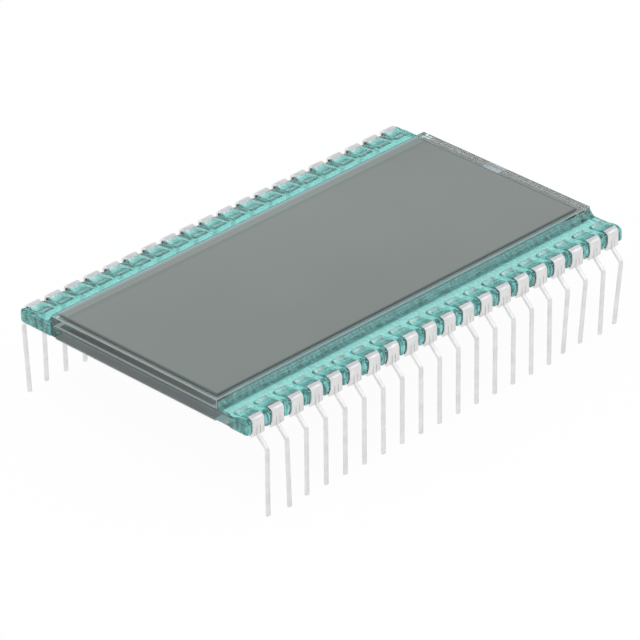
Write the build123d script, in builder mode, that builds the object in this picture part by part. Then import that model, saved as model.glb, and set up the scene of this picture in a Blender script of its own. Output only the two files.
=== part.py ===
from build123d import *
import os

# A bare segment display: two glass plates sealed face to face, with a film on each side,
# and a row of stamped clip-on pins along each long edge, locked by a bead of resin.
# It stands on its pin tips. X runs along the pin rows, Z up, origin between the rows
# on the plane of the tips. All sizes are millimetres.

os.makedirs("parts", exist_ok=True)

# Glass cell
glass_length = 50.8
rear_glass_width = 30.48
ledge_width = 3.94
rear_glass_thickness = 1.1
front_glass_thickness = 1.1
glass_arris = 0.07

# The gap between the plates is drawn thicker than the real hundredth of a millimetre,
# so that what fills it stays a solid
cell_gap = 0.05
seal_inset = 0.3
seal_width = 0.55
fill_port_width = 2.2
fill_port_offset = 1.5
plug_bulge = 0.35
plug_height = 1.0
plug_corner = 0.25
plug_chamfer = 0.14

# Films
polarizer_thickness = 0.2
polarizer_side_inset = 0.42
polarizer_left_inset = 0.5
polarizer_right_inset = 1.55
rear_film_end_inset = 0.2
reflector_thickness = 0.08

# Pins, a strip bent into a clip with its middle tongue drawn out as the lead. The glass is
# cut to a whole number of pin pitches, and the rows stand off its edges by half a pitch.
pins_per_row = 20
pin_pitch = glass_length / pins_per_row
row_stand_off = 1.27
stand_height = 8.65
metal = 0.25
clip_width = 1.5
lead_width = 0.4
slit_width = 0.05
slit_start = 0.65
clip_edge_gap = 0.03
finger_reach = 2.05
finger_lift = 0.26
finger_flat = 0.5
finger_toe = 0.45
crest_rise = 0.56
jaw_reach = 1.25
jaw_drop = 0.3
jaw_flat = 0.35
tongue_drop = 0.3
knee_drop = 1.45
knee_splay = 0.07
jaw_crease = 0.17
crest_radius = 0.4
knee_radius = 0.45

# Leads that handling has bent: how far each tip has moved out from its row
bent_tips = {2: 0.26, 17: -0.5, 18: -0.62, 19: -0.33, 20: -0.75, 40: -0.37}

# Resin
resin_sheet = 0.26
resin_climb = 0.72
resin_meniscus = 0.6
resin_end = 0.42
resin_over_finger = 0.08
resin_pad_margin = 0.14
resin_pad_toe = 0.28
lobe_bulge = 0.26
lobe_hang = 0.02
lobe_shoulder = 0.42
lobe_taper = 0.26
wrap_thickness = 0.16
wrap_reach_left_front = 2.6
wrap_reach_left_back = 4.1
wrap_reach_right = 2.6
wrap_chamfer = 0.12

# How far a cutting shape runs past what it cuts
cut_margin = 0.5

# Levels and places worked out from the sizes above
front_glass_width = rear_glass_width - 2 * ledge_width
rear_top = stand_height + rear_glass_thickness
front_bottom = rear_top + cell_gap
front_top = front_bottom + front_glass_thickness
first_pin_x = -pin_pitch * (pins_per_row - 1) / 2
pin_places = [first_pin_x + i * pin_pitch for i in range(pins_per_row)]
gap_places = [x + pin_pitch / 2 for x in pin_places[:-1]]
gap_width = pin_pitch - clip_width


# The cross-section plane of a row: its x runs outward from the glass edge, its y runs up
# from the underside of the rear glass
def row_plane(x, side):
    edge = side * rear_glass_width / 2
    return Plane(origin=(x, edge, stand_height), x_dir=(0, side, 0), z_dir=(side, 0, 0))


# Rear glass
with BuildPart() as rear_glass:
    with BuildSketch(Plane.XY.offset(stand_height)):
        Rectangle(glass_length, rear_glass_width)
    extrude(amount=rear_glass_thickness)
    chamfer(rear_glass.edges(), length=glass_arris)
rear_glass.part.label = "rear_glass"
export_step(rear_glass.part, "parts/rear_glass.step")

# Front glass
with BuildPart() as front_glass:
    with BuildSketch(Plane.XY.offset(front_bottom)):
        Rectangle(glass_length, front_glass_width)
    extrude(amount=front_glass_thickness)
    chamfer(front_glass.edges(), length=glass_arris)
front_glass.part.label = "front_glass"
export_step(front_glass.part, "parts/front_glass.step")

# Perimeter seal, a printed frame with the fill port left open in the right end
seal_length = glass_length - 2 * seal_inset
seal_breadth = front_glass_width - 2 * seal_inset
cell_length = seal_length - 2 * seal_width
cell_breadth = seal_breadth - 2 * seal_width
with BuildPart() as perimeter_seal:
    with BuildSketch(Plane.XY.offset(rear_top)):
        Rectangle(seal_length, seal_breadth)
        Rectangle(cell_length, cell_breadth, mode=Mode.SUBTRACT)
        with Locations((seal_length / 2, fill_port_offset)):
            Rectangle(2 * seal_width + cut_margin, fill_port_width, mode=Mode.SUBTRACT)
    extrude(amount=cell_gap)
perimeter_seal.part.label = "perimeter_seal"
export_step(perimeter_seal.part, "parts/perimeter_seal.step")

# Liquid crystal, the fluid film inside the seal
with BuildPart() as liquid_crystal:
    with BuildSketch(Plane.XY.offset(rear_top)):
        Rectangle(cell_length, cell_breadth)
    extrude(amount=cell_gap)
liquid_crystal.part.label = "liquid_crystal"
export_step(liquid_crystal.part, "parts/liquid_crystal.step")

# Fill port plug, drawn into the port and bulging over both glass ends
plug_depth = (glass_length - cell_length) / 2
with BuildPart() as fill_port_plug:
    with BuildSketch(Plane.XY.offset(rear_top)):
        with Locations((cell_length / 2, fill_port_offset)):
            Rectangle(plug_depth, fill_port_width, align=(Align.MIN, Align.CENTER))
    extrude(amount=cell_gap)
    bulge_plane = Plane(
        origin=(glass_length / 2, fill_port_offset, rear_top + cell_gap / 2),
        x_dir=(0, 1, 0),
        z_dir=(1, 0, 0),
    )
    with BuildSketch(bulge_plane) as bulge_outline:
        Rectangle(fill_port_width, plug_height)
        chamfer(bulge_outline.vertices(), length=plug_corner)
    extrude(amount=plug_bulge)
    chamfer(fill_port_plug.faces().sort_by(Axis.X)[-1].edges(), length=plug_chamfer)
fill_port_plug.part.label = "fill_port_plug"
export_step(fill_port_plug.part, "parts/fill_port_plug.step")

# Front polarizer, cut shorter than the glass so that the fill port end stays clear
polarizer_length = glass_length - polarizer_left_inset - polarizer_right_inset
polarizer_width = front_glass_width - 2 * polarizer_side_inset
polarizer_x = (polarizer_left_inset - polarizer_right_inset) / 2
with BuildPart() as front_polarizer:
    with BuildSketch(Plane.XY.offset(front_top)):
        with Locations((polarizer_x, 0)):
            Rectangle(polarizer_length, polarizer_width)
    extrude(amount=polarizer_thickness)
front_polarizer.part.label = "front_polarizer"
export_step(front_polarizer.part, "parts/front_polarizer.step")

# Rear polarizer and reflector, laminated under the rear glass and as wide as the front film, so
# that light comes up through the ledges beside them
rear_film_length = glass_length - 2 * rear_film_end_inset
with BuildPart() as rear_polarizer:
    with BuildSketch(Plane.XY.offset(stand_height)):
        Rectangle(rear_film_length, polarizer_width)
    extrude(amount=-polarizer_thickness)
rear_polarizer.part.label = "rear_polarizer"
export_step(rear_polarizer.part, "parts/rear_polarizer.step")

with BuildPart() as reflector:
    with BuildSketch(Plane.XY.offset(stand_height - polarizer_thickness)):
        Rectangle(rear_film_length, polarizer_width)
    extrude(amount=-reflector_thickness)
reflector.part.label = "reflector"
export_step(reflector.part, "parts/reflector.step")

# The middle surface of the bent strip, outward and up from the glass edge: the finger on the
# ledge, the crest, the outer face and the jaws under the glass
half_metal = metal / 2
outer_face = clip_edge_gap + half_metal
finger_level = rear_glass_thickness + half_metal
rise_start = -finger_reach + finger_toe + finger_flat
strip_points = [
    (-finger_reach, finger_level + finger_lift),
    (-finger_reach + finger_toe, finger_level),
    (rise_start, finger_level),
    (outer_face, finger_level + crest_rise),
    (outer_face, jaw_crease - jaw_drop),
    (outer_face - jaw_crease, -jaw_drop),
    (-jaw_reach + jaw_flat, -half_metal),
    (-jaw_reach, -half_metal),
]
strip_radii = [0, 0, crest_radius, 0, 0, 0]

# One bent strip across its full width, before the tongue is cut free
with BuildPart() as strip:
    with BuildLine(row_plane(0, -1)) as strip_path:
        FilletPolyline(*strip_points, radius=strip_radii)
    strip_start = Plane(origin=strip_path.line @ 0, x_dir=(1, 0, 0), z_dir=strip_path.line % 0)
    with BuildSketch(strip_start):
        Rectangle(clip_width, metal)
    sweep(path=strip_path.line, transition=Transition.RIGHT)


# One pin of the front row: the strip, the window that frees its middle tongue, and the tongue
# drawn out and down as the lead. The lead is drawn past the plane of the tips and cut there.
def make_pin(tip_shift):
    lean = (tip_shift - knee_splay) / (stand_height - knee_drop)
    lead_points = [
        (outer_face, slit_start),
        (outer_face, -tongue_drop),
        (row_stand_off + knee_splay, -knee_drop),
        (row_stand_off + tip_shift + lean * cut_margin, -stand_height - cut_margin),
    ]
    with BuildPart() as pin:
        add(strip.part)
        with BuildSketch(row_plane(0, -1)):
            with Locations((-jaw_reach - cut_margin, slit_start)):
                Rectangle(
                    jaw_reach + outer_face + 2 * cut_margin,
                    stand_height,
                    align=(Align.MIN, Align.MAX),
                )
        extrude(amount=lead_width / 2 + slit_width, both=True, mode=Mode.SUBTRACT)
        with BuildLine(row_plane(0, -1)) as lead_path:
            FilletPolyline(*lead_points, radius=[0, knee_radius])
        lead_start = Plane(origin=lead_path.line @ 0, x_dir=(1, 0, 0), z_dir=lead_path.line % 0)
        with BuildSketch(lead_start):
            Rectangle(lead_width, metal)
        sweep(path=lead_path.line, transition=Transition.RIGHT)
        split(bisect_by=Plane.XY, keep=Keep.TOP)
    return pin.part


# Pin 1 is at the left of the front row, and the count runs on round the back row from the right.
# A back pin is a front pin turned half round.
straight_pin = make_pin(0)
pin_stations = [(x, 0) for x in pin_places] + [(x, 180) for x in reversed(pin_places)]
for number, (x, turn) in enumerate(pin_stations, start=1):
    pin_form = make_pin(bent_tips[number]) if number in bent_tips else straight_pin
    pin_part = pin_form.moved(Location((x, 0, 0), (0, 0, turn)))
    pin_part.label = f"pin_{number:02d}"
    export_step(pin_part, f"parts/{pin_part.label}.step")

# Heights of the resin above the underside of the rear glass, and how far up its rise a finger
# is where the resin over it stops
sheet_top = rear_glass_thickness + resin_sheet
pad_top = finger_level + half_metal + resin_over_finger
rise_share = (-resin_end - rise_start) / (outer_face - rise_start)


# The profile that the lobes and the end corners share, from the sheet over the glass edge and
# down its side. What lies in the rear glass is cut away with it.
with BuildSketch() as edge_profile:
    with BuildLine():
        over_edge = FilletPolyline(
            (-resin_end, sheet_top),
            (lobe_bulge, sheet_top),
            (lobe_bulge, lobe_hang),
            radius=lobe_shoulder,
        )
        Polyline(over_edge @ 1, (-resin_end, lobe_hang), over_edge @ 0)
    make_face()


# The resin of one row: a sheet on the ledge that climbs the front glass, a pad over each
# finger, a lobe that runs over the glass edge between each two clips, and a wrap at each end
def make_bead(side, wrap_left, wrap_right):
    turn = 0 if side < 0 else 180
    wrap_align = (Align.CENTER, Align.MIN if side < 0 else Align.MAX)
    strips = [strip.part.moved(Location((x, 0, 0), (0, 0, turn))) for x in pin_places]

    with BuildPart() as bead:
        # Sheet on the ledge
        with BuildSketch(row_plane(0, side)):
            with BuildLine():
                climb_end = (-ledge_width, rear_glass_thickness + resin_climb)
                sheet_start = (-ledge_width + resin_meniscus, sheet_top)
                RadiusArc(climb_end, sheet_start, -resin_meniscus)
                Polyline(
                    sheet_start,
                    (-resin_end, sheet_top),
                    (-resin_end, rear_glass_thickness),
                    (-ledge_width, rear_glass_thickness),
                    climb_end,
                )
            make_face()
        extrude(amount=glass_length / 2, both=True)

        # Pads over the fingers
        with BuildSketch(*[row_plane(x, side) for x in pin_places]):
            with BuildLine():
                Polyline(
                    (-finger_reach - resin_pad_toe, rear_glass_thickness),
                    (-finger_reach - resin_pad_toe, sheet_top),
                    (-finger_reach, pad_top + finger_lift),
                    (-finger_reach + finger_toe + resin_pad_margin, pad_top),
                    (-resin_end, pad_top + crest_rise * rise_share),
                    (-resin_end, rear_glass_thickness),
                    close=True,
                )
            make_face()
        extrude(amount=clip_width / 2 + resin_pad_margin, both=True)

        # Lobes over the edge between the clips
        with BuildSketch(*[row_plane(x, side) for x in gap_places]):
            add(edge_profile.sketch)
        extrude(amount=gap_width / 2, both=True)
        lobe_ends = bead.edges().filter_by(Axis.Y).group_by(Axis.Z)[0]
        chamfer(lobe_ends, length=lobe_taper)

        # Corners outside the end clips
        corner_width = glass_length / 2 + wrap_thickness - pin_places[-1] - clip_width / 2
        corner_centre = pin_places[-1] + clip_width / 2 + corner_width / 2
        with BuildSketch(row_plane(-corner_centre, side), row_plane(corner_centre, side)):
            add(edge_profile.sketch)
        extrude(amount=corner_width / 2, both=True)

        # Wraps that run from the corners along the end faces
        wrap_centre = (glass_length + wrap_thickness) / 2
        for end, reach in ((-1, wrap_left), (1, wrap_right)):
            with BuildSketch(Plane.XY.offset(stand_height + lobe_hang)):
                with Locations((end * wrap_centre, side * rear_glass_width / 2)):
                    Rectangle(wrap_thickness, reach, align=wrap_align)
            extrude(amount=sheet_top - lobe_hang)
        uprights = bead.edges().filter_by(Axis.Z).group_by(Axis.X)
        outer = 0 if side < 0 else -1
        corner_edges = [group.sort_by(Axis.Y)[outer] for group in (uprights[0], uprights[-1])]
        chamfer(corner_edges, length=wrap_chamfer)

        # The rear glass and the strips are moulded in
        with BuildSketch(Plane.XY.offset(stand_height)):
            Rectangle(glass_length, rear_glass_width)
        extrude(amount=rear_glass_thickness, mode=Mode.SUBTRACT)
        add(strips, mode=Mode.SUBTRACT)
    return bead.part


front_bead = make_bead(-1, wrap_reach_left_front, wrap_reach_right)
front_bead.label = "resin_bead_front"
export_step(front_bead, "parts/resin_bead_front.step")

back_bead = make_bead(1, wrap_reach_left_back, wrap_reach_right)
back_bead.label = "resin_bead_back"
export_step(back_bead, "parts/resin_bead_back.step")
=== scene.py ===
# %% [markdown]
# # Dressing a bare segment display
# The real part is two glass plates with films on them, forty clip-on pins, and the resin that
# holds the pins on both ledges. The imported CAD frame has all of them as plain solids. They could
# be drawn again here, but then the two models would drift apart. So the frame is loaded first,
# and everything made here shares its axes, in metres. Its nodes are kept, and their boxes place
# the dressed pieces.

import math

import bpy
from mathutils import Matrix, Vector


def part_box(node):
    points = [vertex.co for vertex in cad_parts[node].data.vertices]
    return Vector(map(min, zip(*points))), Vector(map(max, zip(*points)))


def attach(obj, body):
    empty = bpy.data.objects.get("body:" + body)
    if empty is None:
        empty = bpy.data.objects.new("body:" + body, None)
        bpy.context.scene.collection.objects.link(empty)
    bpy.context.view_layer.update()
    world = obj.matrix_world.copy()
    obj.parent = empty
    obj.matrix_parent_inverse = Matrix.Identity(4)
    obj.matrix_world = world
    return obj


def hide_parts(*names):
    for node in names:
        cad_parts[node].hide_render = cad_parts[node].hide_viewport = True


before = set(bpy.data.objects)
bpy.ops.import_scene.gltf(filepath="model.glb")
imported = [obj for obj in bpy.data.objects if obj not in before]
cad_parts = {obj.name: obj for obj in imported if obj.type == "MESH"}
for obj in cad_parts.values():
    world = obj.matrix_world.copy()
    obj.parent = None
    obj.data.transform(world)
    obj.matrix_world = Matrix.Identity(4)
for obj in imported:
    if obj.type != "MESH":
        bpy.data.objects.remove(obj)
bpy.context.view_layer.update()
scene = bpy.context.scene
MM = 0.001
print("frame nodes:", len(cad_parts))

# %% [markdown]
# ## Helpers for colours and nodes
# A colour is written as a hex value, as a colour picker gives it, and a shader needs it in linear
# light, so one function turns it. A noise texture asks for spots to the metre, and a maker thinks
# of their size, so one function turns that too. Nodes could be placed by hand in the editor. One
# small function does the same here: it adds a node with its settings, its links and, on a colour
# ramp, its stops.

# %% Colours and nodes
MIX_A = 6  # the two colour inputs and the colour output of a Mix node
MIX_B = 7
MIX_OUT = 2


def linear(hex_colour):
    parts = [int(hex_colour[i : i + 2], 16) / 255 for i in (1, 3, 5)]
    lit = [c / 12.92 if c <= 0.04045 else ((c + 0.055) / 1.055) ** 2.4 for c in parts]
    return (*lit, 1.0)


def scale_for(size):
    """The scale of a noise whose spots are this many millimetres across."""
    return 1 / (size * MM)


def add_node(tree, kind, inputs=None, stops=(), **settings):
    """Adds a node. An input that is another node's socket is linked, and any other is set."""
    made = tree.nodes.new(kind)
    for name, value in settings.items():
        setattr(made, name, value)
    for socket, value in (inputs or {}).items():
        if isinstance(value, bpy.types.NodeSocket):
            tree.links.new(value, made.inputs[socket])
        else:
            made.inputs[socket].default_value = value
    for i, (spot, tone) in enumerate(stops):
        elements = made.color_ramp.elements
        stop = elements[i] if i < 2 else elements.new(spot)
        stop.position = spot
        stop.color = linear(tone)
    return made


def new_material(name):
    made = bpy.data.materials.new(name)
    made.use_nodes = True
    made.node_tree.nodes.clear()
    return made, made.node_tree


print("a mid grey is", [round(c, 3) for c in linear("#808080")[:3]])

# %% [markdown]
# ## Helpers for picking and finishing
# An operator works on whatever is selected, and loading the frame leaves its nodes selected. So
# each step first clears the selection and then picks its own piece. A modifier could stay live on
# a piece, but each one is applied at once, so that the piece is a finished mesh.


# %% Selection and modifiers
def deselect_all():
    if bpy.context.mode != "OBJECT":
        bpy.ops.object.mode_set(mode="OBJECT")
    for o in bpy.context.selected_objects:
        o.select_set(False)


def make_active(piece):
    deselect_all()
    piece.select_set(True)
    bpy.context.view_layer.objects.active = piece


def apply_modifier(piece, kind, **settings):
    make_active(piece)
    made = piece.modifiers.new(kind.title(), kind)
    for name, value in settings.items():
        setattr(made, name, value)
    bpy.ops.object.modifier_apply(modifier=made.name)


def smooth_below(piece, degrees):
    """Shades a piece smooth over every edge that turns less than this."""
    make_active(piece)
    bpy.ops.object.shade_smooth_by_angle(angle=math.radians(degrees))


deselect_all()
print("selected objects:", len(bpy.context.selected_objects))

# %% [markdown]
# ## Camera
# The part is seen from about thirty degrees above the table, round to the left of its front edge,
# with a long lens from half a metre away. A long lens keeps the two rows of pins nearly parallel.
# The view could be found by eye, but the pins stand at a known spacing, so its place and turn were
# worked out from them and are simply set here.

# %% Camera
PICTURE_PIXELS = 640
FOCAL_PIXELS = 5580.92
SENSOR_WIDTH = 36.0
camera_place = Vector((-0.327847, -0.332484, 0.274021))
to_the_right = Vector((0.70677, -0.70729, -0.01473))
upwards = Vector((0.36293, 0.34462, 0.86575))
backwards = Vector((-0.60726, -0.61723, 0.50026))

camera_data = bpy.data.cameras.new("camera")
camera_data.sensor_width = SENSOR_WIDTH
camera_data.lens = FOCAL_PIXELS / PICTURE_PIXELS * SENSOR_WIDTH
camera_data.clip_start = 0.01
camera_data.clip_end = 20.0
camera = bpy.data.objects.new("camera", camera_data)
scene.collection.objects.link(camera)
turn = Matrix((to_the_right, upwards, backwards)).transposed().to_4x4()
camera.matrix_world = Matrix.Translation(camera_place) @ turn
scene.camera = camera
print("lens in mm:", round(camera_data.lens, 1))

# %% [markdown]
# ## White table
# Small glass parts are photographed on white paper. A lamp could be turned up until the paper
# goes white, but the part would then be lit too strongly. So the paper is a matt surface that
# lights the part as paper does, and to the camera, in mirrors and through glass it shows a plain
# white of its own. A twentieth part of the matt surface is left in it, for the part's shadow.


# %% White paper
def paper_white():
    material, tree = new_material("white_paper_table")
    path = add_node(tree, "ShaderNodeLightPath")
    paper = add_node(tree, "ShaderNodeBsdfDiffuse", {"Color": linear("#FAFAFA")})
    glow = add_node(tree, "ShaderNodeEmission", {"Color": linear("#FFFFFF"), "Strength": 1.0})
    seen = add_node(
        tree,
        "ShaderNodeMath",
        {0: path.outputs["Is Camera Ray"], 1: path.outputs["Is Glossy Ray"]},
        operation="MAXIMUM",
    )
    seen_through = add_node(
        tree,
        "ShaderNodeMath",
        {0: seen.outputs[0], 1: path.outputs["Is Transmission Ray"]},
        operation="MAXIMUM",
    )
    share = add_node(
        tree, "ShaderNodeMath", {0: seen_through.outputs[0], 1: 0.95}, operation="MULTIPLY"
    )
    mixed = add_node(
        tree, "ShaderNodeMixShader", {0: share.outputs[0], 1: paper.outputs[0], 2: glow.outputs[0]}
    )
    add_node(tree, "ShaderNodeOutputMaterial", {"Surface": mixed.outputs[0]})
    return material


TABLE_SIZE = 6.0
deselect_all()
bpy.ops.mesh.primitive_plane_add(size=TABLE_SIZE, location=(0, 0, 0))
table = bpy.context.object
table.name = "table_top"
table.data.materials.append(paper_white())
print("table:", TABLE_SIZE, "m across")

# %% [markdown]
# ## Room
# Glass shows only what stands round it, so the room matters as much as the lamps. A picture of a
# studio could be wrapped round the part. A soft step from near white walls to a blue-grey ceiling
# is enough here: it draws one clean highlight over the clips. What looks straight at the room, or
# through glass, sees the same white as the paper.

# %% Room
world = bpy.data.worlds.new("studio")
world.use_nodes = True
scene.world = world
tree = world.node_tree
tree.nodes.clear()
path = add_node(tree, "ShaderNodeLightPath")
direct = add_node(
    tree,
    "ShaderNodeMath",
    {0: path.outputs["Is Camera Ray"], 1: path.outputs["Is Transmission Ray"]},
    operation="MAXIMUM",
)
way = add_node(tree, "ShaderNodeTexCoord")
way_axes = add_node(tree, "ShaderNodeSeparateXYZ", {"Vector": way.outputs["Generated"]})
dome = add_node(
    tree,
    "ShaderNodeValToRGB",
    {"Fac": way_axes.outputs["Z"]},
    stops=((0.7, "#F4F4F6"), (0.95, "#C0CAD6")),
)
studio = add_node(
    tree, "ShaderNodeBackground", {"Color": dome.outputs["Color"], "Strength": 0.95}
)
sky = add_node(tree, "ShaderNodeBackground", {"Color": linear("#FFFFFF"), "Strength": 1.0})
both = add_node(
    tree, "ShaderNodeMixShader", {0: direct.outputs[0], 1: studio.outputs[0], 2: sky.outputs[0]}
)
add_node(tree, "ShaderNodeOutputWorld", {"Surface": both.outputs[0]})
scene.view_settings.view_transform = "Standard"
print("room:", world.name)

# %% [markdown]
# ## Lamps
# Three large soft lamps stand round the part: one above for the shadow, one at the right for the
# front row of clips, and one low at the left for the glass end. Small lamps would put hard sparks
# in the resin. Their strength is plain, so that a colour shows about as it is written.


# %% Lamps
def add_lamp(name, size, power, place):
    data = bpy.data.lights.new(name, "AREA")
    data.shape = "SQUARE"
    data.size = size
    data.energy = power
    lamp = bpy.data.objects.new(name, data)
    scene.collection.objects.link(lamp)
    lamp.location = place
    lamp.rotation_mode = "QUATERNION"
    aim = Vector((0, 0, 0.01))
    lamp.rotation_quaternion = (aim - Vector(place)).to_track_quat("-Z", "Y")
    return lamp


add_lamp("soft_light_above", 1.2, 8.0, (-0.6, -0.25, 1.8))
add_lamp("soft_light_right", 1.0, 3.0, (1.3, -1.1, 1.25))
add_lamp("soft_light_left", 0.9, 3.0, (-1.3, 0.9, 0.45))

# %% [markdown]
# ## Matt tin plate
# The pins are stamped from bronze strip and plated with matt tin. To the eye it is a white metal
# with a soft shine and faint lines along the strip from rolling. One grey would do from afar, but
# close up it looks like plastic, so cloudy greys tint it and a fine noise, drawn out along the
# strip, gives the lines. Real lines are too fine to show, so these are 0.05 mm wide.


# %% Matt tin plate on rolled strip
def matt_tin_plate():
    material, tree = new_material("matt_tin_plated_bronze_strip")
    place = add_node(tree, "ShaderNodeTexCoord")
    cloud = add_node(
        tree,
        "ShaderNodeTexNoise",
        {"Vector": place.outputs["Object"], "Scale": scale_for(1.111), "Detail": 3.0},
    )
    tint = add_node(
        tree,
        "ShaderNodeValToRGB",
        {"Fac": cloud.outputs["Fac"]},
        stops=((0.35, "#DEDEDE"), (0.65, "#EAE9E8")),
    )
    drawn_out = add_node(
        tree, "ShaderNodeMapping", {"Vector": place.outputs["Object"], "Scale": (30.0, 1.0, 1.0)}
    )
    rolled = add_node(
        tree,
        "ShaderNodeTexNoise",
        {"Vector": drawn_out.outputs[0], "Scale": scale_for(1.429), "Detail": 2.0},
    )
    lines = add_node(
        tree,
        "ShaderNodeBump",
        {"Height": rolled.outputs["Fac"], "Strength": 0.07, "Distance": 0.02 * MM},
    )
    surface = add_node(
        tree,
        "ShaderNodeBsdfPrincipled",
        {
            "Base Color": tint.outputs["Color"],
            "Metallic": 1.0,
            "Roughness": 0.42,
            "Normal": lines.outputs["Normal"],
        },
    )
    add_node(tree, "ShaderNodeOutputMaterial", {"Surface": surface.outputs[0]})
    return material


tin_plate = matt_tin_plate()
print("finish:", tin_plate.name)

# %% [markdown]
# ## Ground edges of the glass
# Both plates are cut from float glass, and their sharp edges are ground off at forty-five degrees,
# which leaves thin matt lines. The lines could be pieces of their own. But a ground edge is simply
# the one face of a plate that looks along no axis, so a material can find it by its normal: on a
# flat face the largest of the three parts of the normal is one, and on a ground edge it is less.


# %% Find the ground edges
def ground_edges(tree, place):
    """Gives two masks: all ground edges, and those of them that look down, which get painted shade.
    """
    facing = add_node(tree, "ShaderNodeSeparateXYZ", {"Vector": place.outputs["Normal"]})
    along_x, along_y, along_z = [
        add_node(tree, "ShaderNodeMath", {0: facing.outputs[axis]}, operation="ABSOLUTE")
        for axis in ("X", "Y", "Z")
    ]
    flat = along_x
    for other in (along_y, along_z):
        flat = add_node(
            tree, "ShaderNodeMath", {0: flat.outputs[0], 1: other.outputs[0]}, operation="MAXIMUM"
        )
    ground = add_node(tree, "ShaderNodeMath", {0: flat.outputs[0], 1: 0.9}, operation="LESS_THAN")
    # the ground edges that look down get painted shade in the glass
    down = add_node(tree, "ShaderNodeMath", {0: facing.outputs["Z"], 1: -0.4}, operation="LESS_THAN")
    shaded_under_edge = add_node(
        tree, "ShaderNodeMath", {0: down.outputs[0], 1: ground.outputs[0]}, operation="MULTIPLY"
    )
    return ground.outputs[0], shaded_under_edge.outputs[0]


GLASS_SPLIT = (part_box("rear_glass")[1].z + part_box("front_glass")[0].z) / 2
print("plates part at", round(GLASS_SPLIT / MM, 3), "mm")

# %% [markdown]
# ## Clear glass
# To the eye the faces of float glass are clear and faintly green, and very flat: its waves are 8 mm
# long and only just bend a reflection. The ground edges are rough and let a third of the light
# through. Those of the upper plate are pale, with only air beside them. Those of the lower plate
# are painted darker, and the ones on its underside nearly black and less clear, as painted shade
# for the dark layers that lie beside them. One glass with one roughness would be simpler, but the
# thin lines are what makes a plate of glass look cut.


# %% Clear soda lime glass
def soda_lime_glass():
    material, tree = new_material("clear_soda_lime_float_glass")
    place = add_node(tree, "ShaderNodeTexCoord")
    ground, shaded_under_edge = ground_edges(tree, place)
    spot = add_node(tree, "ShaderNodeSeparateXYZ", {"Vector": place.outputs["Object"]})
    upper_plate = add_node(
        tree, "ShaderNodeMath", {0: spot.outputs["Z"], 1: GLASS_SPLIT}, operation="GREATER_THAN"
    )
    # painted shade: the ground edges of the lower plate are darker, and those on its underside
    # nearly black
    tint = add_node(
        tree,
        "ShaderNodeMix",
        {"Factor": upper_plate.outputs[0], MIX_A: linear("#6A7272"), MIX_B: linear("#B4BBB9")},
        data_type="RGBA",
    )
    tint = add_node(
        tree,
        "ShaderNodeMix",
        {"Factor": ground, MIX_A: linear("#E9F0ED"), MIX_B: tint.outputs[MIX_OUT]},
        data_type="RGBA",
    )
    tint = add_node(
        tree,
        "ShaderNodeMix",
        {"Factor": shaded_under_edge, MIX_A: tint.outputs[MIX_OUT], MIX_B: linear("#262A2A")},
        data_type="RGBA",
    )
    clear = add_node(tree, "ShaderNodeMapRange", {"Value": ground, "To Min": 1.0, "To Max": 0.35})
    clear = add_node(
        tree, "ShaderNodeMath", {0: clear.outputs[0], 1: shaded_under_edge}, operation="SUBTRACT"
    )
    rough = add_node(tree, "ShaderNodeMapRange", {"Value": ground, "To Min": 0.02, "To Max": 0.45})
    ripple = add_node(
        tree,
        "ShaderNodeTexNoise",
        {"Vector": place.outputs["Object"], "Scale": scale_for(8.333), "Detail": 1.0},
    )
    wave = add_node(
        tree,
        "ShaderNodeBump",
        {"Height": ripple.outputs["Fac"], "Strength": 0.05, "Distance": 0.01 * MM},
    )
    surface = add_node(
        tree,
        "ShaderNodeBsdfPrincipled",
        {
            "Base Color": tint.outputs[MIX_OUT],
            "Roughness": rough.outputs[0],
            "IOR": 1.52,
            "Transmission Weight": clear.outputs[0],
            "Normal": wave.outputs["Normal"],
        },
    )
    add_node(tree, "ShaderNodeOutputMaterial", {"Surface": surface.outputs[0]})
    return material


clear_glass = soda_lime_glass()
print("finish:", clear_glass.name)

# %% [markdown]
# ## Cut edge of the front film
# The film is cut a little smaller than the glass, and the shade at its cut edge is painted on as a
# thin darker line. The line could be a strip of its own, but it is painted on the film. So the
# material measures how far a place is from the nearest cut edge, from the corners of the film's
# box, and fades the painted shade out over a tenth of a millimetre.

# %% Distance from the cut edge
CUT_EDGE_SHADE = (0.08, 0.22)  # mm


def inside_cut_edge(tree, axes, low, high):
    """Zero along the cut edge of the film and one inside it."""
    from_middle = add_node(
        tree, "ShaderNodeMath", {0: axes.outputs["X"], 1: (high.x + low.x) / 2}, operation="SUBTRACT"
    )
    away_x = add_node(tree, "ShaderNodeMath", {0: from_middle.outputs[0]}, operation="ABSOLUTE")
    away_y = add_node(tree, "ShaderNodeMath", {0: axes.outputs["Y"]}, operation="ABSOLUTE")
    left = [
        add_node(tree, "ShaderNodeMath", {0: half, 1: away.outputs[0]}, operation="SUBTRACT")
        for half, away in (((high.x - low.x) / 2, away_x), ((high.y - low.y) / 2, away_y))
    ]
    nearest = add_node(
        tree, "ShaderNodeMath", {0: left[0].outputs[0], 1: left[1].outputs[0]}, operation="MINIMUM"
    )
    inside = add_node(
        tree,
        "ShaderNodeMapRange",
        {"Value": nearest.outputs[0], "From Min": CUT_EDGE_SHADE[0] * MM, "From Max": CUT_EDGE_SHADE[1] * MM},
    )
    return inside.outputs[0]


print("darker line in mm:", round(CUT_EDGE_SHADE[1] - CUT_EDGE_SHADE[0], 2))

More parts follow.
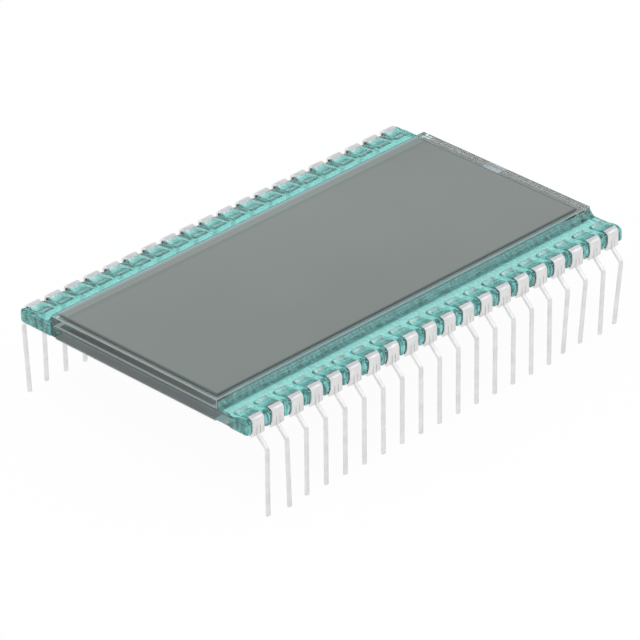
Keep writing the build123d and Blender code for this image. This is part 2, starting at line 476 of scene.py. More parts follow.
# %% [markdown]
# ## Grey polarizing film
# The film on the front is stretched plastic with a satin face. With the film under the rear glass
# and the foil behind that, it gives the display its even warm grey. A true stack of films could
# be drawn, but light would have to pass ten faces to give one grey, so this film is opaque and has
# the grey of the whole stack, in clouds 17 mm across that hardly show. Along the far side the seal
# under it shows through where light from behind crosses the film; this is painted on, as a soft
# darker line of painted shade with a paler, painted lit line behind it, and the last strip there
# is painted blue-grey light from the ledge. A satin grain is a few microns. It is drawn at 0.1 mm,
# as fine as the render can show.

# %% Grey polarizing film
# painted light and shade: the seal seen through the film by light from behind, and the ledge light
# on the far strip
SEAL_SHOWS = (9.0, 11.0)  # places on Y, in mm
LEDGE_LIGHT_STRIP = (10.35, 10.8)


def polarizing_film(name, low, high):
    material, tree = new_material(name)
    place = add_node(tree, "ShaderNodeTexCoord")
    axes = add_node(tree, "ShaderNodeSeparateXYZ", {"Vector": place.outputs["Object"]})
    cloud = add_node(
        tree,
        "ShaderNodeTexNoise",
        {"Vector": place.outputs["Object"], "Scale": scale_for(16.667), "Detail": 2.0},
    )
    grey = add_node(
        tree,
        "ShaderNodeValToRGB",
        {"Fac": cloud.outputs["Fac"]},
        stops=((0.3, "#8B928D"), (0.7, "#8F9690")),
    )
    over_seal, ledge_light_strip = [
        add_node(
            tree,
            "ShaderNodeMapRange",
            {"Value": axes.outputs["Y"], "From Min": near * MM, "From Max": far * MM},
        )
        for near, far in (SEAL_SHOWS, LEDGE_LIGHT_STRIP)
    ]
    painted_dark_line = ((0.0, "#EBEBEB"), (0.27, "#DBDFDD"), (0.36, "#F1F6F4"))
    painted_pale_line = ((0.42, "#FFFFFF"), (0.5, "#F5F7F7"), (0.8, "#F5F8F9"), (0.94, "#FBFFFF"))
    seal_light_and_shade = add_node(
        tree, "ShaderNodeValToRGB", {"Fac": over_seal.outputs[0]}, stops=painted_dark_line + painted_pale_line
    )
    film = add_node(
        tree,
        "ShaderNodeMix",
        {"Factor": 1.0, MIX_A: grey.outputs["Color"], MIX_B: seal_light_and_shade.outputs["Color"]},
        data_type="RGBA",
        blend_type="MULTIPLY",
    )
    # painted shade: a darker line along the cut edge of the film
    inside = inside_cut_edge(tree, axes, low, high)
    film = add_node(
        tree,
        "ShaderNodeMix",
        {"Factor": inside, MIX_A: linear("#666C6A"), MIX_B: film.outputs[MIX_OUT]},
        data_type="RGBA",
    )
    # painted light: the blue-grey light of the ledge along the far strip
    film = add_node(
        tree,
        "ShaderNodeMix",
        {"Factor": ledge_light_strip.outputs[0], MIX_A: film.outputs[MIX_OUT], MIX_B: linear("#9AB3B6")},
        data_type="RGBA",
    )
    satin = add_node(
        tree,
        "ShaderNodeTexNoise",
        {"Vector": place.outputs["Object"], "Scale": scale_for(0.1111), "Detail": 1.0},
    )
    relief = add_node(
        tree,
        "ShaderNodeBump",
        {"Height": satin.outputs["Fac"], "Strength": 0.08, "Distance": 0.01 * MM},
    )
    surface = add_node(
        tree,
        "ShaderNodeBsdfPrincipled",
        {
            "Base Color": film.outputs[MIX_OUT],
            "Roughness": 0.4,
            "IOR": 1.3,
            "Normal": relief.outputs["Normal"],
        },
    )
    add_node(tree, "ShaderNodeOutputMaterial", {"Surface": surface.outputs[0]})
    return material


front_film_finish = polarizing_film("satin_grey_polarizing_film", *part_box("front_polarizer"))
print("finish:", front_film_finish.name)

# %% [markdown]
# ## Foil and port glue
# The foil behind the display is matt aluminium, embossed to scatter light: a dull white metal
# with a grain of about 0.2 mm. The glue that closes the filling port is a cured clear drop with
# clouds of 1.4 mm in it. It looks milky, because light comes back out of it, and that light is
# painted on as a faint glow of its own colour. Each could have its own function, but both are one
# cloudy tint with a relief to match, so one function makes them from colours, a cloud size, a
# shine and a painted glow.


# %% Foil and port glue
def mottled(name, low, high, cloud_size, roughness, metallic, glow):
    material, tree = new_material(name)
    place = add_node(tree, "ShaderNodeTexCoord")
    cloud = add_node(
        tree,
        "ShaderNodeTexNoise",
        {"Vector": place.outputs["Object"], "Scale": scale_for(cloud_size), "Detail": 4.0},
    )
    tint = add_node(
        tree, "ShaderNodeValToRGB", {"Fac": cloud.outputs["Fac"]}, stops=((0.35, low), (0.65, high))
    )
    grain = add_node(
        tree,
        "ShaderNodeBump",
        {"Height": cloud.outputs["Fac"], "Strength": 0.2, "Distance": 0.02 * MM},
    )
    surface = add_node(
        tree,
        "ShaderNodeBsdfPrincipled",
        {
            "Base Color": tint.outputs["Color"],
            "Metallic": metallic,
            "Roughness": roughness,
            "Emission Color": tint.outputs["Color"],
            "Emission Strength": glow,
            "Normal": grain.outputs["Normal"],
        },
    )
    add_node(tree, "ShaderNodeOutputMaterial", {"Surface": surface.outputs[0]})
    return material


foil_finish = mottled("matt_diffusing_foil", "#B9BBBA", "#C9CBCA", 0.16667, 0.45, 0.6, 0.0)
# the glue's glow is painted light, for the light that comes back out of it
plug_finish = mottled("cured_clear_plug_glue", "#AEB6BC", "#C3C9CE", 1.429, 0.15, 0.0, 0.35)
print("finishes:", foil_finish.name, plug_finish.name)

# %% [markdown]
# ## Light inside the cell
# Between and under the plates lie the fluid, the seal and the rear film. They are seen only
# through the glass edges and through the film. In the real cell that film lets some light down to
# them. It is opaque here, so what is inside is given that light as a faint glow, which could be
# one colour all over. But the ledges beside the long sides let more light in, and tint it teal,
# and the ends let in less. So the glow goes from one colour to the next with the distance from the
# middle.

# %% Light inside the cell
SIDE_LIGHT = (7.0, 8.5)  # where each colour starts and is full, from the middle, in mm
END_LIGHT = (22.5, 23.5)
RIGHT_DARK = (24.0, 24.4)


def cell_light(tree, axes, middle, sides, ends):
    """Gives the colour of the glow, and a mask of both ends."""
    away_x = add_node(tree, "ShaderNodeMath", {0: axes.outputs["X"]}, operation="ABSOLUTE")
    away_y = add_node(tree, "ShaderNodeMath", {0: axes.outputs["Y"]}, operation="ABSOLUTE")
    near_side, near_end = [
        add_node(
            tree,
            "ShaderNodeMapRange",
            {"Value": away.outputs[0], "From Min": start * MM, "From Max": full * MM},
        )
        for away, (start, full) in ((away_y, SIDE_LIGHT), (away_x, END_LIGHT))
    ]
    glow = add_node(
        tree,
        "ShaderNodeMix",
        {"Factor": near_side.outputs[0], MIX_A: linear(middle), MIX_B: linear(sides)},
        data_type="RGBA",
    )
    glow = add_node(
        tree,
        "ShaderNodeMix",
        {"Factor": near_end.outputs[0], MIX_A: glow.outputs[MIX_OUT], MIX_B: linear(ends)},
        data_type="RGBA",
    )
    return glow.outputs[MIX_OUT], near_end.outputs[0]


print("light comes in", round(SIDE_LIGHT[1] - SIDE_LIGHT[0], 1), "mm deep at the sides")

# %% [markdown]
# ## Layers inside the cell
# The fluid, the epoxy of the seal and the rear film are matt and grey where they lie under the
# front film, in clouds about 3 mm across, as ink and fluid spread. At the ends they are seen at a
# low angle through the cut glass, and there the fluid is a dark gloss. The strip past the seal at
# the right end gets the least light. Three materials could be written out, but they differ only
# in colours and in how much of these two effects they have, so one function makes all three.


# %% Finish of a layer
def inside_layer(name, body, middle, sides, ends, end_gloss, right_dark):
    material, tree = new_material(name)
    place = add_node(tree, "ShaderNodeTexCoord")
    axes = add_node(tree, "ShaderNodeSeparateXYZ", {"Vector": place.outputs["Object"]})
    glow, near_end = cell_light(tree, axes, middle, sides, ends)
    cloud = add_node(
        tree,
        "ShaderNodeTexNoise",
        {"Vector": place.outputs["Object"], "Scale": scale_for(3.333), "Detail": 2.0},
    )
    tint = add_node(
        tree,
        "ShaderNodeValToRGB",
        {"Fac": cloud.outputs["Fac"]},
        stops=((0.35, body[0]), (0.65, body[1])),
    )
    dark = add_node(
        tree,
        "ShaderNodeMapRange",
        {
            "Value": axes.outputs["X"],
            "From Min": RIGHT_DARK[0] * MM,
            "From Max": RIGHT_DARK[1] * MM,
            "To Max": right_dark,
        },
    )
    tint = add_node(
        tree,
        "ShaderNodeMix",
        {"Factor": dark.outputs[0], MIX_A: tint.outputs["Color"], MIX_B: linear("#16181A")},
        data_type="RGBA",
    )
    lit = add_node(tree, "ShaderNodeMath", {0: 1.0, 1: dark.outputs[0]}, operation="SUBTRACT")
    matt = add_node(
        tree,
        "ShaderNodeBsdfPrincipled",
        {
            "Base Color": tint.outputs[MIX_OUT],
            "Roughness": 0.4,
            "Emission Color": glow,
            "Emission Strength": lit.outputs[0] if right_dark else 1.0,
        },
    )
    gloss = add_node(
        tree, "ShaderNodeBsdfAnisotropic", {"Color": linear("#9CA4A4"), "Roughness": 0.15}
    )
    slant = add_node(tree, "ShaderNodeLayerWeight", {"Blend": 0.5})
    low_angle = add_node(
        tree,
        "ShaderNodeMapRange",
        {"Value": slant.outputs["Facing"], "From Min": 0.35, "From Max": 0.6, "To Max": end_gloss},
    )
    at_end = add_node(
        tree, "ShaderNodeMath", {0: low_angle.outputs[0], 1: near_end}, operation="MULTIPLY"
    )
    surface = add_node(
        tree, "ShaderNodeMixShader", {0: at_end.outputs[0], 1: matt.outputs[0], 2: gloss.outputs[0]}
    )
    add_node(tree, "ShaderNodeOutputMaterial", {"Surface": surface.outputs[0]})
    return material


print("darkest from", RIGHT_DARK[1], "mm on")

# %% [markdown]
# ## Fluid, seal and rear film
# The fluid is darkest in the middle, where no side light reaches it, and glossy at the ends. The
# seal is a mid grey epoxy ink and stays matt. The rear film is dark all over, and darker still
# past the seal. They could share one grey, but the lines that they draw in the glass edges are
# told apart only by these small steps.

# %% Fluid, seal and rear film
fluid_finish = inside_layer(
    "liquid_crystal_between_plates",
    body=("#8A9290", "#959D9B"),
    middle="#2C3030",
    sides="#5C7F83",
    ends="#424848",
    end_gloss=1.0,
    right_dark=0.0,
)
seal_finish = inside_layer(
    "printed_grey_seal_epoxy",
    body=("#8A9290", "#959D9B"),
    middle="#70797A",
    sides="#747F7F",
    ends="#6C7474",
    end_gloss=0.0,
    right_dark=0.3,
)
rear_film_finish = inside_layer(
    "rear_polarizing_film",
    body=("#4A504F", "#535958"),
    middle="#5E6566",
    sides="#5E6566",
    ends="#474C4F",
    end_gloss=0.0,
    right_dark=0.95,
)
print("finishes:", fluid_finish.name, seal_finish.name, rear_film_finish.name)

# %% [markdown]
# ## Milk in the resin
# Cured resin is never quite clear. It has a little milk in its skin, an eighth part where it is
# looked at straight and none at a low angle. On the lobes outside the glass there is more of it,
# in strands, and this is partly haze and partly painted light and shade: it stands in for the
# bright and dark streaks that the rounded drops make by bending light. The strands are 0.3 mm wide
# and four or five times as long. They could be painted by hand, but a noise that is drawn out
# downwards has just their look.

# %% Milk in the resin
# past here the milk also carries painted light and shade on the lobes
LOBE_FACE = (15.2, 15.4)  # the milk thickens here, past the edge of the glass, on Y in mm


def milk_and_light_share(tree, place):
    slant = add_node(tree, "ShaderNodeLayerWeight", {"Blend": 0.5})
    seen_straight = add_node(
        tree,
        "ShaderNodeMapRange",
        {
            "Value": slant.outputs["Facing"],
            "From Min": 0.5,
            "From Max": 0.9,
            "To Min": 0.12,
            "To Max": 0.0,
        },
    )
    axes = add_node(tree, "ShaderNodeSeparateXYZ", {"Vector": place.outputs["Object"]})
    away_y = add_node(tree, "ShaderNodeMath", {0: axes.outputs["Y"]}, operation="ABSOLUTE")
    # painted light and shade: more milk on the lobes, and in strands, for the light the drops bend
    on_lobe = add_node(
        tree,
        "ShaderNodeMapRange",
        {
            "Value": away_y.outputs[0],
            "From Min": LOBE_FACE[0] * MM,
            "From Max": LOBE_FACE[1] * MM,
            "To Min": 1.0,
            "To Max": 2.6,
        },
    )
    drawn_out = add_node(
        tree, "ShaderNodeMapping", {"Vector": place.outputs["Object"], "Scale": (1.0, 0.6, 0.22)}
    )
    painted_streak = add_node(
        tree,
        "ShaderNodeTexNoise",
        {"Vector": drawn_out.outputs[0], "Scale": scale_for(0.3125), "Detail": 1.0},
    )
    strand_of_light_and_shade = add_node(
        tree,
        "ShaderNodeMapRange",
        {
            "Value": painted_streak.outputs["Fac"],
            "From Min": 0.4,
            "From Max": 0.6,
            "To Min": 0.3,
            "To Max": 2.0,
        },
    )
    share = seen_straight
    for more in (on_lobe, strand_of_light_and_shade):
        share = add_node(
            tree, "ShaderNodeMath", {0: share.outputs[0], 1: more.outputs[0]}, operation="MULTIPLY"
        )
    return share.outputs[0]


print("milk thickens past", LOBE_FACE[0], "mm")

# %% [markdown]
# ## Clear teal resin
# The resin is a clear acrylic that light cures. To the eye it is pale where it is thin and deep
# teal where light has far to go through it, with a wet skin that rolls gently, in waves 1.1 mm
# across. A tint on the surface could give one teal, but not both, so the colour sits in the volume
# and takes light away with depth. The milk is a second, solid skin, mixed in by its share, which
# also carries the painted light and shade on the lobes.


# %% Clear teal resin
def teal_resin():
    material, tree = new_material("light_cured_clear_teal_resin")
    place = add_node(tree, "ShaderNodeTexCoord")
    ripple = add_node(
        tree,
        "ShaderNodeTexNoise",
        {"Vector": place.outputs["Object"], "Scale": scale_for(1.111), "Detail": 1.5},
    )
    wave = add_node(
        tree,
        "ShaderNodeBump",
        {"Height": ripple.outputs["Fac"], "Strength": 0.06, "Distance": 0.05 * MM},
    )
    clear = add_node(
        tree,
        "ShaderNodeBsdfPrincipled",
        {
            "Base Color": linear("#F4FFFD"),
            "Roughness": 0.03,
            "IOR": 1.5,
            "Transmission Weight": 1.0,
            "Normal": wave.outputs["Normal"],
        },
    )
    milk = add_node(
        tree,
        "ShaderNodeBsdfPrincipled",
        {
            "Base Color": linear("#9CF2EE"),
            "Roughness": 0.05,
            "IOR": 1.5,
            "Normal": wave.outputs["Normal"],
        },
    )
    skin = add_node(
        tree,
        "ShaderNodeMixShader",
        {0: milk_and_light_share(tree, place), 1: clear.outputs[0], 2: milk.outputs[0]},
    )
    depth = add_node(
        tree, "ShaderNodeVolumeAbsorption", {"Color": linear("#38EFEA"), "Density": 2250.0}
    )
    add_node(
        tree, "ShaderNodeOutputMaterial", {"Surface": skin.outputs[0], "Volume": depth.outputs[0]}
    )
    return material


resin_finish = teal_resin()
print("finish:", resin_finish.name)

# %% [markdown]
# ## Resin
# The resin is dispensed as a liquid along each ledge, runs over the fingers of the clips and out
# between them over the edge of the glass, and is set by light before it can drip. It could be
# sculpted, or carved from one block, but liquid that has joined up is easiest made from plain
# blocks that overlap: a voxel remesh melts them to one skin, and a smooth pass draws the skin
# tight, as surface tension does. The blocks are made a thousand times too big, because the
# remesh can't go finer than a tenth of a millimetre, and the finished skin is scaled back.

# %% Places on one row, in millimetres
PINS = sum(name.startswith("pin_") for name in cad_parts) // 2
PITCH = 2.54
GLASS_HALF = round(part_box("rear_glass")[1].x / MM, 2)
EDGE = round(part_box("rear_glass")[1].y / MM, 2)
GLASS_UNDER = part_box("rear_glass")[0].z / MM
GLASS_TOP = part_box("rear_glass")[1].z / MM
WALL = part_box("front_glass")[1].y / MM
pin_places = [PITCH * (i - (PINS - 1) / 2) for i in range(PINS)]
print("ledge from", round(WALL, 2), "to", EDGE, "at height", round(GLASS_TOP, 2))

# %% [markdown]
# ## Blocks and drops
# The resin lies in places that are nearly square, such as the ledge, and hangs in round ones,
# between the clips. A block with its edges rounded stands for the first and a stretched ball for
# the second. The top of a block isn't level where resin has crept up a wall or a finger, so a
# block can be sliced across, and each slice line raised to its own height.

# %% Blocks, drops and slices
TOUCH = 1e-4  # two places nearer than this, in mm, are one


def add_block(x0, x1, y0, y1, z0, z1, round_by=0.0, steps=3):
    deselect_all()
    centre = ((x0 + x1) / 2, (y0 + y1) / 2, (z0 + z1) / 2)
    bpy.ops.mesh.primitive_cube_add(size=1.0, location=centre)
    block = bpy.context.object
    block.scale = (x1 - x0, y1 - y0, z1 - z0)
    bpy.ops.object.transform_apply(location=True, rotation=False, scale=True)
    if round_by:
        apply_modifier(block, "BEVEL", width=round_by, segments=steps, limit_method="NONE")
    return block


def add_drop(x, y, z, half_x, half_y, half_z):
    deselect_all()
    bpy.ops.mesh.primitive_uv_sphere_add(
        segments=20, ring_count=12, radius=1.0, location=(x, y, z)
    )
    drop = bpy.context.object
    drop.scale = (half_x, half_y, half_z)
    bpy.ops.object.transform_apply(location=True, rotation=False, scale=True)
    return drop


def shape_top(block, heights):
    """Slices a block across at each place in from the glass edge, and sets its top there."""
    near = min(v.co.y for v in block.data.vertices) + TOUCH
    far = max(v.co.y for v in block.data.vertices) - TOUCH
    make_active(block)
    bpy.ops.object.mode_set(mode="EDIT")
    for y, _ in heights:
        if near < y - EDGE < far:
            bpy.ops.mesh.select_all(action="SELECT")
            bpy.ops.mesh.bisect(plane_co=(0, y - EDGE, 0), plane_no=(0, 1, 0))
    bpy.ops.object.mode_set(mode="OBJECT")
    for y, height in heights:
        for v in block.data.vertices:
            if abs(v.co.y - (y - EDGE)) < TOUCH and v.co.z > GLASS_TOP + 0.05:
                v.co.z = GLASS_TOP + height


print("helpers:", add_block.__name__, add_drop.__name__, shape_top.__name__)

# %% [markdown]
# ## Melting and cutting
# Blocks that only overlap still look like blocks. The voxel remesh wraps them in one skin, with
# cells of 0.08 mm, small enough for the lobes, and the smooth pass takes the cells' steps away.
# Then both plates are cut out of the skin. A cut that is flush would leave two faces in one
# plane, so it stops 15 microns short, and the resin wets the glass.

# %% Melt and cut
VOXEL = 0.08
SMOOTH_PASSES = 6
BITE = 0.015


def melt(blocks, name):
    make_active(blocks[0])
    for block in blocks[1:]:
        block.select_set(True)
    bpy.ops.object.join()
    piece = bpy.context.object
    piece.name = name
    piece.data.name = name
    apply_modifier(piece, "REMESH", mode="VOXEL", voxel_size=VOXEL, use_smooth_shade=True)
    apply_modifier(piece, "SMOOTH", factor=0.5, iterations=SMOOTH_PASSES)
    return piece


def cut_out(piece, node_name):
    """Cuts a glass plate out of the resin, all but the thin layer that wets it."""
    low, high = (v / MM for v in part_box(node_name))
    plate = add_block(
        low.x + BITE, high.x - BITE, low.y + BITE, high.y - BITE, low.z - BITE, high.z - BITE
    )
    apply_modifier(piece, "BOOLEAN", operation="DIFFERENCE", object=plate, solver="EXACT")
    bpy.data.objects.remove(plate)
    smooth_below(piece, 50)


print("cells of the melt in mm:", VOXEL)

# %% [markdown]
# ## Sheet on the ledge
# A thin sheet covers the ledge and climbs the side of the upper plate, as a liquid climbs a wall.
# It could be a flat slab, but the climb shows, as the dark band along that plate. So the top of a
# slab is set at a row of places. Places count in from the glass edge and heights from the ledge.

# %% Sheet
SINK = 0.07  # how far a block starts inside the glass, so that no gap opens under it
SHEET_START = 0.2
SHEET_PAST = 0.05  # how far it runs past the ends of the glass
SHEET_TOP = 0.26  # before the top is shaped
WALL_BITE = 0.03  # how far it runs into the upper plate, which is cut out later
CLIMB = 0.95  # how high it has crept at that plate


def add_sheet(bare_left, line):
    """A sheet whose top follows a line. It starts short of a glass end that was left bare."""
    wall = -WALL + WALL_BITE
    sheet = add_block(
        -GLASS_HALF - SHEET_PAST + bare_left,
        GLASS_HALF + SHEET_PAST,
        -EDGE + SHEET_START,
        wall,
        GLASS_TOP - SINK,
        GLASS_TOP + SHEET_TOP,
    )
    shape_top(sheet, ((wall + EDGE, CLIMB), *line))
    return sheet


print("ledge is", round(EDGE - WALL, 2), "mm wide")

# %% [markdown]
# ## Pads over the fingers
# Over each finger the resin has a rim at the crest, a pool in the finger's hollow and a low skin on
# its raised toe. It could be a thicker copy of the finger, but a liquid fills a hollow and doesn't
# follow it. So a pad is a block a little wider than the clip, with its own heights.

# %% Pad
PAD_HALF = 0.81  # the clips are 0.75 mm to each side
PAD_START = 0.28
PAD_END = 2.18
PAD_TAIL = 0.24  # how high it ends, behind the toe


def add_pad(x, rim, pool):
    pad = add_block(
        x - PAD_HALF,
        x + PAD_HALF,
        -EDGE + PAD_START,
        -EDGE + PAD_END,
        GLASS_TOP - SINK,
        GLASS_TOP + PAD_TAIL,
    )
    over_crest = ((PAD_START, rim), (0.75, pool))
    in_hollow = ((1.15, pool), (1.42, pool - 0.06))
    on_toe = ((1.65, 0.38), (2.08, 0.56))
    shape_top(pad, (*over_crest, *in_hollow, *on_toe))
    return pad


print("pad in mm:", round(2 * PAD_HALF, 2), "by", round(PAD_END - PAD_START, 2))

# %% [markdown]
# ## Lobes between the clips
# Between each two clips the resin has run out over the edge and hangs in a lobe. A ball alone would
# touch the glass in one point and a block alone would look like a tooth. So a lobe is a rounded
# block over the edge with a stretched drop on its face, which hangs a little below the glass.

# %% Lobe
LOBE_HALF = 0.52
LOBE_STANDS = 0.06  # past the edge of the glass
LOBE_REACH = 0.6  # in from that edge
LOBE_FOOT = 0.55  # over the underside of the glass
LOBE_ROUND = 0.22
DROP_HALF_X = 0.46
DROP_HALF_Y = 0.36
DROP_IN = 0.02  # its middle, in from the edge
DROP_HANGS = 0.08  # below the glass


def add_lobe(x, lip):
    brow = GLASS_TOP + lip
    hang = GLASS_UNDER - DROP_HANGS
    block = add_block(
        x - LOBE_HALF,
        x + LOBE_HALF,
        -EDGE - LOBE_STANDS,
        -EDGE + LOBE_REACH,
        GLASS_UNDER + LOBE_FOOT,
        brow,
        LOBE_ROUND,
        4,
    )
    middle = (brow + hang) / 2
    drop = add_drop(x, -EDGE + DROP_IN, middle, DROP_HALF_X, DROP_HALF_Y, (brow - hang) / 2)
    return [block, drop]


print("lobes on a row:", PINS - 1)

# %% [markdown]
# ## Wraps round the ends
# Past the last clip the bead turns the corner of the glass and thins out along its end. It could
# be swept along a bent path, but the melt rounds the turn anyway, so two blocks do: a fat rounded
# one at the corner and a thin one on the end of the glass.

# %% Wrap
WRAP_IN = 0.73  # where a wrap starts, from the middle of the last pin
WRAP_OUT = 0.18  # how far it stands past the end of the glass
CORNER_STANDS = 0.27  # past the long edge
CORNER_REACH = 0.9  # in from that edge
CORNER_HANGS = 0.05  # below the glass
CORNER_TOP = 0.33
CORNER_ROUND = 0.34
END_BITE = 0.12  # how far the thin block starts inside the glass
END_FOOT = 0.02  # over the underside of the glass
END_TOP = 0.24
END_ROUND = 0.12


def add_wrap(side, reach):
    outer = side * (GLASS_HALF + WRAP_OUT)
    low, high = sorted((side * (pin_places[-1] + WRAP_IN), outer))
    corner = add_block(
        low,
        high,
        -EDGE - CORNER_STANDS,
        -EDGE + CORNER_REACH,
        GLASS_UNDER - CORNER_HANGS,
        GLASS_TOP + CORNER_TOP,
        CORNER_ROUND,
        4,
    )
    low, high = sorted((side * (GLASS_HALF - END_BITE), outer))
    under = GLASS_UNDER + END_FOOT
    end = add_block(low, high, -EDGE, -EDGE + reach, under, GLASS_TOP + END_TOP, END_ROUND)
    return [corner, end]


print("wrap stands out by", WRAP_OUT, "mm")

# %% [markdown]
# ## Pouring a row
# A row is one sheet, a pad over each pin, a lobe between each two and a wrap at each end, melted
# into one piece. Both rows could be poured in place, but a row has one way out, so each is poured
# as a front row, where outward is towards minus Y, and the back one is turned half round. The
# last function is used by every dressed piece: it sets the finish, hangs the piece on the root
# body and hides the node it stands for.


# %% Pour, settle and hand over
def pour_resin(name, bare_left, wraps, rim, pool, lip, sheet_line):
    blocks = [add_sheet(bare_left, sheet_line)]
    blocks += [add_pad(x, rim, pool) for x in pin_places]
    for x in pin_places[:-1]:
        blocks += add_lobe(x + PITCH / 2, lip)
    for side, reach in zip((-1, 1), wraps):
        blocks += add_wrap(side, reach)
    resin = melt(blocks, name)
    cut_out(resin, "rear_glass")
    cut_out(resin, "front_glass")
    return resin


def settle(piece, turned):
    """Turns a row half round for the back, and brings it back to metres."""
    make_active(piece)
    if turned:
        piece.rotation_euler = (0, 0, math.pi)
    piece.scale = (MM, MM, MM)
    bpy.ops.object.transform_apply(location=True, rotation=True, scale=True)


def hand_over(piece, node_name, finish):
    piece.data.materials.clear()
    piece.data.materials.append(finish)
    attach(piece, "root")
    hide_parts(node_name)
    print(piece.name, "faces:", len(piece.data.polygons))


print("a row is melted from", 1 + PINS + 2 * (PINS - 1) + 2 * 2, "blocks and drops")

# %% [markdown]
# ## Both rows
# The rows were not poured with the same hand. The front one has a thin sheet and full rims over
# the crests, and its wraps are short. The back one has a thicker sheet that leaves the edge nearly
# bare, with a long wrap at its left end. They could be copies, but these differences are what
# makes them look poured. In a sheet's line, each pair is a place and the height there.

# %% Both rows
climb_front = ((3.84, 0.72), (3.69, 0.48), (3.49, 0.34), (3.24, 0.26))
resin_front = pour_resin(
    "resin_front",
    bare_left=0.1,
    wraps=(2.2, 2.6),
    rim=0.64,
    pool=0.56,
    lip=0.46,
    sheet_line=(*climb_front, (1.7, 0.26), (1.2, 0.38), (0.7, 0.46), (0.2, 0.44)),
)
climb_back = ((3.84, 0.74), (3.69, 0.55), (3.49, 0.44), (3.24, 0.38))
resin_back = pour_resin(
    "resin_back",
    bare_left=0.0,
    wraps=(2.6, 4.1),
    rim=0.57,
    pool=0.47,
    lip=0.1,
    sheet_line=(*climb_back, (1.6, 0.38), (0.9, 0.27), (0.2, 0.12)),
)
settle(resin_front, False)
settle(resin_back, True)
hand_over(resin_front, "resin_bead_front", resin_finish)
hand_over(resin_back, "resin_bead_back", resin_finish)

# %% [markdown]
# ## Pins
# A pin is one stamped strip: a finger on the glass, a clip over the edge, two jaws below and the
# lead bent down between them. The CAD form is right and is kept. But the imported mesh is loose
# triangles with knife-sharp edges, and a stamped and plated strip has soft ones. So each pin is
# copied and merged, its flats are made whole again, the plating is grown on it, and its edges get
# a narrow bevel that catches the light.

# %% Plated pins
PLATING = 0.004
EDGE_SOFTNESS = 0.025
MERGE = 0.0005


def grown_copy(node_name, name, growth):
    """A merged copy of a CAD node with whole flats, and its skin moved out by so many mm."""
    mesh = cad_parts[node_name].data.copy()
    mesh.name = name
    piece = bpy.data.objects.new(name, mesh)
    scene.collection.objects.link(piece)
    make_active(piece)
    bpy.ops.object.mode_set(mode="EDIT")
    bpy.ops.mesh.select_all(action="SELECT")
    bpy.ops.mesh.remove_doubles(threshold=MERGE * MM)
    bpy.ops.mesh.dissolve_limited(angle_limit=math.radians(1.0))
    bpy.ops.mesh.select_all(action="SELECT")
    bpy.ops.transform.shrink_fatten(value=growth * MM)
    bpy.ops.object.mode_set(mode="OBJECT")
    return piece


def soften_edges(piece, width, steps, degrees):
    apply_modifier(
        piece,
        "BEVEL",
        width=width * MM,
        segments=steps,
        limit_method="ANGLE",
        angle_limit=math.radians(degrees),
    )


for node_name in sorted(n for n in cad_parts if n.startswith("pin_")):
    pin = grown_copy(node_name, node_name.replace("pin_", "plated_pin_"), PLATING)
    for v in pin.data.vertices:
        v.co.z = max(v.co.z, 0.0)  # the plating under a tip would stand below the table
    soften_edges(pin, EDGE_SOFTNESS, 2, 35)
    smooth_below(pin, 40)
    hand_over(pin, node_name, tin_plate)

# %% [markdown]
# ## Plates and films
# The plates have their edges ground, and the films have theirs cut and rounded a little. Each is
# a plain slab, which could be shown as it is packed, but two things are missing there: the soft
# edges, which draw the thin lines round the glass, and the contact. Films laminated on glass, and
# the fluid between the plates, touch it with no air between. Two faces in one plane leave the
# renderer to guess which comes first, so each layer is made a few microns thicker and pressed
# into its neighbour. The gap of the cell is drawn wide in the CAD model, so both plates grow into
# it until it has its true hundredth of a millimetre.

# %% Plates and films
PRESS = 0.004
ARRIS = 0.07
FILM_ROUND = 0.03
GAP_CLOSED = 0.02


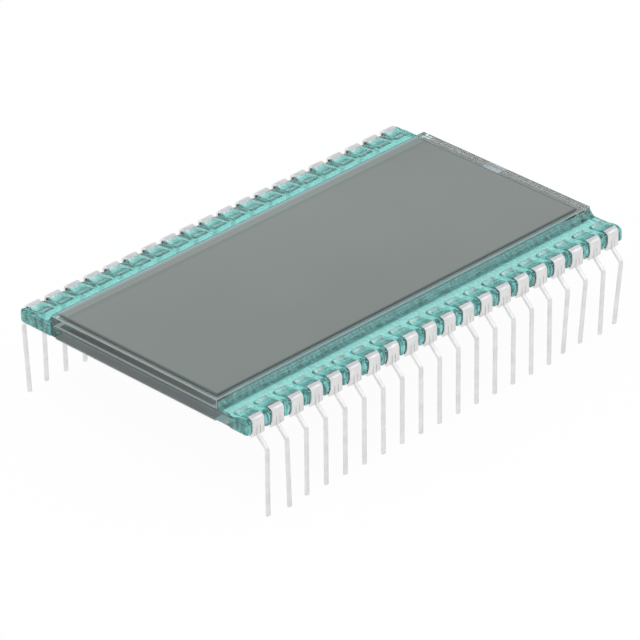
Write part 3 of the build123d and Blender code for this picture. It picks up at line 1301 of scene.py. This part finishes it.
def remake_slab(node_name, name, down, up, round_by, steps):
    """A CAD slab made again, with soft edges, and grown down and up by so many mm."""
    low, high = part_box(node_name)
    under = low.z - down * MM
    top = high.z + up * MM
    slab = add_block(low.x, high.x, low.y, high.y, under, top, round_by * MM, steps)
    slab.name = name
    slab.data.name = name
    return slab


def cut_plate(node_name, name, down, up):
    plate = remake_slab(node_name, name, down, up, ARRIS, 1)
    hand_over(plate, node_name, clear_glass)


def press_film(node_name, name, finish, down, up):
    film = remake_slab(node_name, name, down, up, FILM_ROUND, 2)
    smooth_below(film, 35)
    hand_over(film, node_name, finish)


cut_plate("rear_glass", "rear_plate", 0.0, GAP_CLOSED)
cut_plate("front_glass", "front_plate", GAP_CLOSED, 0.0)
press_film("front_polarizer", "front_film", front_film_finish, PRESS, 0.0)
press_film("rear_polarizer", "rear_film", rear_film_finish, 0.0, PRESS)
press_film("liquid_crystal", "fluid_layer", fluid_finish, PRESS, PRESS)

# %% [markdown]
# ## Seal and port glue
# The seal is a printed frame with a port in its right side, through which the cell was filled. A
# drop of glue closes the port and stands a little proud of the glass end. The CAD forms are right
# here too, so both are carried over as the pins are. The glue was pushed in as a liquid, so its
# edges are rounded far more.

# %% Seal frame and the glue in its port
seal = grown_copy("perimeter_seal", "seal_frame", PRESS)
hand_over(seal, "perimeter_seal", seal_finish)
plug = grown_copy("fill_port_plug", "port_glue", PRESS)
soften_edges(plug, 0.12, 3, 30)
smooth_below(plug, 50)
hand_over(plug, "fill_port_plug", plug_finish)

# %% [markdown]
# ## Finishes on the frame
# Most CAD nodes are hidden now behind a dressed piece, and the foil is shown as it is packed. All
# of them could be left grey, but other tools show them too, so each node gets the finish of its
# real piece. Only materials are set: the nodes are neither moved nor reshaped.

# %% Finishes on the CAD nodes
finishes = {
    "rear_glass": clear_glass,
    "front_glass": clear_glass,
    "perimeter_seal": seal_finish,
    "liquid_crystal": fluid_finish,
    "fill_port_plug": plug_finish,
    "front_polarizer": front_film_finish,
    "rear_polarizer": rear_film_finish,
    "reflector": foil_finish,
    "resin_bead_front": resin_finish,
    "resin_bead_back": resin_finish,
}
for name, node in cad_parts.items():
    node.data.materials.clear()
    node.data.materials.append(finishes.get(name, tin_plate))
print("finished nodes:", len(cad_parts))
